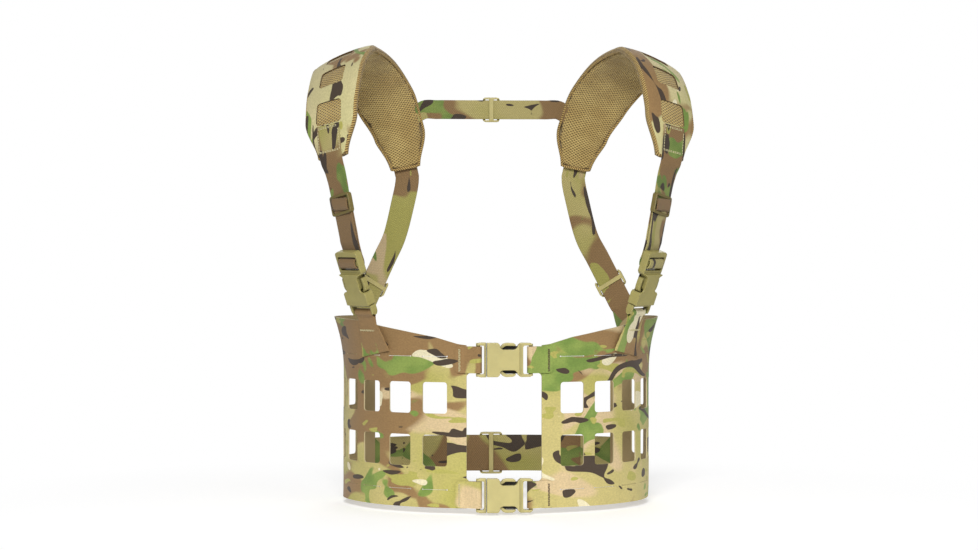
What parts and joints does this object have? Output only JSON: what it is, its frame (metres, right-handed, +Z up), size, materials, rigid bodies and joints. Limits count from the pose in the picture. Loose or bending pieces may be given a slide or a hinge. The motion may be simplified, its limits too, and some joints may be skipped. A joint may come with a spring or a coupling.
{
  "type": "harness vest",
  "caption": "Split-front harness vest: windowed laminate panels, padded shoulder yoke, webbing straps and side-release buckles.",
  "frame": {"origin": "middle of the bounding box in plan, on the lowest edge", "axes": "+Z up, the wearer faces -Y, +X is the viewer's right when the front is seen"},
  "size_m": [0.3816, 0.2605, 0.4577],
  "materials": {
    "laminate": "matte laminate in a mixed tan, green and brown camouflage",
    "spacer_mesh": "knitted spacer mesh",
    "webbing": "woven nylon webbing in camouflage",
    "buckle_nylon": "moulded khaki nylon"
  },
  "bodies": {
    "back_harness": {"left_pad_shell": "laminate", "right_pad_shell": "laminate", "left_pad_lining": "spacer_mesh", "right_pad_lining": "spacer_mesh", "left_shoulder_webbing": "webbing", "right_shoulder_webbing": "webbing", "left_back_strap": "webbing", "right_back_strap": "webbing", "left_back_tab": "webbing", "right_back_tab": "webbing", "waist_strap": "webbing", "cross_strap": "webbing"},
    "left_panel": {"left_front_panel": "laminate", "left_top_tab": "laminate", "left_bottom_tab": "laminate", "left_shoulder_buckle_tab": "webbing"},
    "left_strap": {"left_front_strap": "webbing", "left_shoulder_buckle_female": "buckle_nylon"},
    "left_slider": {"left_strap_slider": "buckle_nylon"},
    "left_back_slide": {"left_back_adjuster": "buckle_nylon"},
    "left_shoulder_plug": {"left_shoulder_buckle_male_base": "buckle_nylon"},
    "left_shoulder_inner_latch": {"left_shoulder_buckle_inner_prong": "buckle_nylon"},
    "left_shoulder_outer_latch": {"left_shoulder_buckle_outer_prong": "buckle_nylon"},
    "right_panel": {"right_front_panel": "laminate", "right_top_tab": "laminate", "right_bottom_tab": "laminate", "right_shoulder_buckle_tab": "webbing"},
    "right_strap": {"right_front_strap": "webbing", "right_shoulder_buckle_female": "buckle_nylon"},
    "right_slider": {"right_strap_slider": "buckle_nylon"},
    "right_back_slide": {"right_back_adjuster": "buckle_nylon"},
    "right_shoulder_plug": {"right_shoulder_buckle_male_base": "buckle_nylon"},
    "right_shoulder_inner_latch": {"right_shoulder_buckle_inner_prong": "buckle_nylon"},
    "right_shoulder_outer_latch": {"right_shoulder_buckle_outer_prong": "buckle_nylon"},
    "top_socket": {"top_buckle_female": "buckle_nylon"},
    "top_plug": {"top_buckle_male_base": "buckle_nylon"},
    "top_upper_latch": {"top_buckle_upper_prong": "buckle_nylon"},
    "top_lower_latch": {"top_buckle_lower_prong": "buckle_nylon"},
    "bottom_socket": {"bottom_buckle_female": "buckle_nylon"},
    "bottom_plug": {"bottom_buckle_male_base": "buckle_nylon"},
    "bottom_upper_latch": {"bottom_buckle_upper_prong": "buckle_nylon"},
    "bottom_lower_latch": {"bottom_buckle_lower_prong": "buckle_nylon"},
    "waist_slide": {"waist_adjuster": "buckle_nylon"},
    "cross_slide": {"cross_adjuster": "buckle_nylon"}
  },
  "joints": [
    {"name": "left_panel_swing", "type": "hinge", "parent": "back_harness", "child": "left_panel", "pos_m": [-0.12268, 0.0798, 0.0838], "axis": [0, 0, -1], "range_deg": [0, 80]},
    {"name": "left_strap_lift", "type": "hinge", "parent": "back_harness", "child": "left_strap", "pos_m": [-0.163, -0.07895, 0.3398], "axis": [-0.8535, 0.4854, -0.1896], "range_deg": [0, 70]},
    {"name": "left_slider_slide", "type": "slide", "parent": "left_strap", "child": "left_slider", "axis": [0.1845, -0.0627, -0.9808], "range_m": [-0.014, 0.02], "stiffness_N_per_m": 30},
    {"name": "left_back_adjuster_slide", "type": "slide", "parent": "back_harness", "child": "left_back_slide", "axis": [-0.3692, -0.4534, -0.8112], "range_m": [-0.016, 0.004], "stiffness_N_per_m": 30},
    {"name": "left_shoulder_plug_swivel", "type": "hinge", "parent": "left_panel", "child": "left_shoulder_plug", "pos_m": [-0.13226, -0.07092, 0.1903], "axis": [0.6391, -0.769, -0.014], "range_deg": [0, 50]},
    {"name": "left_shoulder_inner_squeeze", "type": "hinge", "parent": "left_shoulder_plug", "child": "left_shoulder_inner_latch", "pos_m": [-0.12918, -0.08215, 0.19793], "axis": [-0.7182, -0.5902, -0.3686], "range_deg": [0, 5], "stiffness_Nm_per_rad": 0.1, "deforming": ["left_shoulder_buckle_inner_prong"]},
    {"name": "left_shoulder_outer_squeeze", "type": "hinge", "parent": "left_shoulder_plug", "child": "left_shoulder_outer_latch", "pos_m": [-0.1426, -0.066, 0.19822], "axis": [0.7182, 0.5902, 0.3686], "range_deg": [0, 5], "stiffness_Nm_per_rad": 0.1, "deforming": ["left_shoulder_buckle_outer_prong"]},
    {"name": "right_panel_swing", "type": "hinge", "parent": "back_harness", "child": "right_panel", "pos_m": [0.12268, 0.0798, 0.0838], "axis": [0, 0, 1], "range_deg": [0, 80]},
    {"name": "right_strap_lift", "type": "hinge", "parent": "back_harness", "child": "right_strap", "pos_m": [0.163, -0.07895, 0.3398], "axis": [-0.8535, -0.4854, 0.1896], "range_deg": [0, 70]},
    {"name": "right_slider_slide", "type": "slide", "parent": "right_strap", "child": "right_slider", "axis": [-0.1845, -0.0627, -0.9808], "range_m": [-0.014, 0.02], "stiffness_N_per_m": 30},
    {"name": "right_back_adjuster_slide", "type": "slide", "parent": "back_harness", "child": "right_back_slide", "axis": [0.3692, -0.4534, -0.8112], "range_m": [-0.016, 0.004], "stiffness_N_per_m": 30},
    {"name": "right_shoulder_plug_swivel", "type": "hinge", "parent": "right_panel", "child": "right_shoulder_plug", "pos_m": [0.13226, -0.07092, 0.1903], "axis": [0.6391, 0.769, 0.014], "range_deg": [0, 50]},
    {"name": "right_shoulder_inner_squeeze", "type": "hinge", "parent": "right_shoulder_plug", "child": "right_shoulder_inner_latch", "pos_m": [0.12918, -0.08215, 0.19793], "axis": [-0.7182, 0.5902, 0.3686], "range_deg": [0, 5], "stiffness_Nm_per_rad": 0.1, "deforming": ["right_shoulder_buckle_inner_prong"]},
    {"name": "right_shoulder_outer_squeeze", "type": "hinge", "parent": "right_shoulder_plug", "child": "right_shoulder_outer_latch", "pos_m": [0.1426, -0.066, 0.19822], "axis": [0.7182, -0.5902, -0.3686], "range_deg": [0, 5], "stiffness_Nm_per_rad": 0.1, "deforming": ["right_shoulder_buckle_outer_prong"]},
    {"name": "top_socket_swivel", "type": "hinge", "parent": "right_panel", "child": "top_socket", "pos_m": [0.0252, -0.12325, 0.1456], "axis": [0, 0, 1], "range_deg": [0, 60]},
    {"name": "top_plug_swivel", "type": "hinge", "parent": "left_panel", "child": "top_plug", "pos_m": [-0.0252, -0.12325, 0.1456], "axis": [0, 0, -1], "range_deg": [0, 60]},
    {"name": "top_upper_squeeze", "type": "hinge", "parent": "top_plug", "child": "top_upper_latch", "pos_m": [-0.0172, -0.12495, 0.1561], "axis": [0, 1, 0], "range_deg": [0, 5], "stiffness_Nm_per_rad": 0.1, "deforming": ["top_buckle_upper_prong"]},
    {"name": "top_lower_squeeze", "type": "hinge", "parent": "top_plug", "child": "top_lower_latch", "pos_m": [-0.0172, -0.12495, 0.1351], "axis": [0, -1, 0], "range_deg": [0, 5], "stiffness_Nm_per_rad": 0.1, "deforming": ["top_buckle_lower_prong"]},
    {"name": "bottom_socket_swivel", "type": "hinge", "parent": "right_panel", "child": "bottom_socket", "pos_m": [0.0252, -0.12325, 0.0166], "axis": [0, 0, 1], "range_deg": [0, 60]},
    {"name": "bottom_plug_swivel", "type": "hinge", "parent": "left_panel", "child": "bottom_plug", "pos_m": [-0.0252, -0.12325, 0.0166], "axis": [0, 0, -1], "range_deg": [0, 60]},
    {"name": "bottom_upper_squeeze", "type": "hinge", "parent": "bottom_plug", "child": "bottom_upper_latch", "pos_m": [-0.0172, -0.12495, 0.0271], "axis": [0, 1, 0], "range_deg": [0, 5], "stiffness_Nm_per_rad": 0.1, "deforming": ["bottom_buckle_upper_prong"]},
    {"name": "bottom_lower_squeeze", "type": "hinge", "parent": "bottom_plug", "child": "bottom_lower_latch", "pos_m": [-0.0172, -0.12495, 0.0061], "axis": [0, -1, 0], "range_deg": [0, 5], "stiffness_Nm_per_rad": 0.1, "deforming": ["bottom_buckle_lower_prong"]},
    {"name": "waist_adjuster_slide", "type": "slide", "parent": "back_harness", "child": "waist_slide", "axis": [1, 0, 0], "range_m": [-0.012, 0.012]},
    {"name": "cross_adjuster_slide", "type": "slide", "parent": "back_harness", "child": "cross_slide", "axis": [1, 0, 0], "range_m": [-0.03, 0.03]}
  ],
  "couplings": [
    {"joint": "left_shoulder_outer_squeeze", "follows": "left_shoulder_inner_squeeze", "ratio": 1},
    {"joint": "right_shoulder_outer_squeeze", "follows": "right_shoulder_inner_squeeze", "ratio": 1},
    {"joint": "top_lower_squeeze", "follows": "top_upper_squeeze", "ratio": 1},
    {"joint": "bottom_lower_squeeze", "follows": "bottom_upper_squeeze", "ratio": 1}
  ]
}
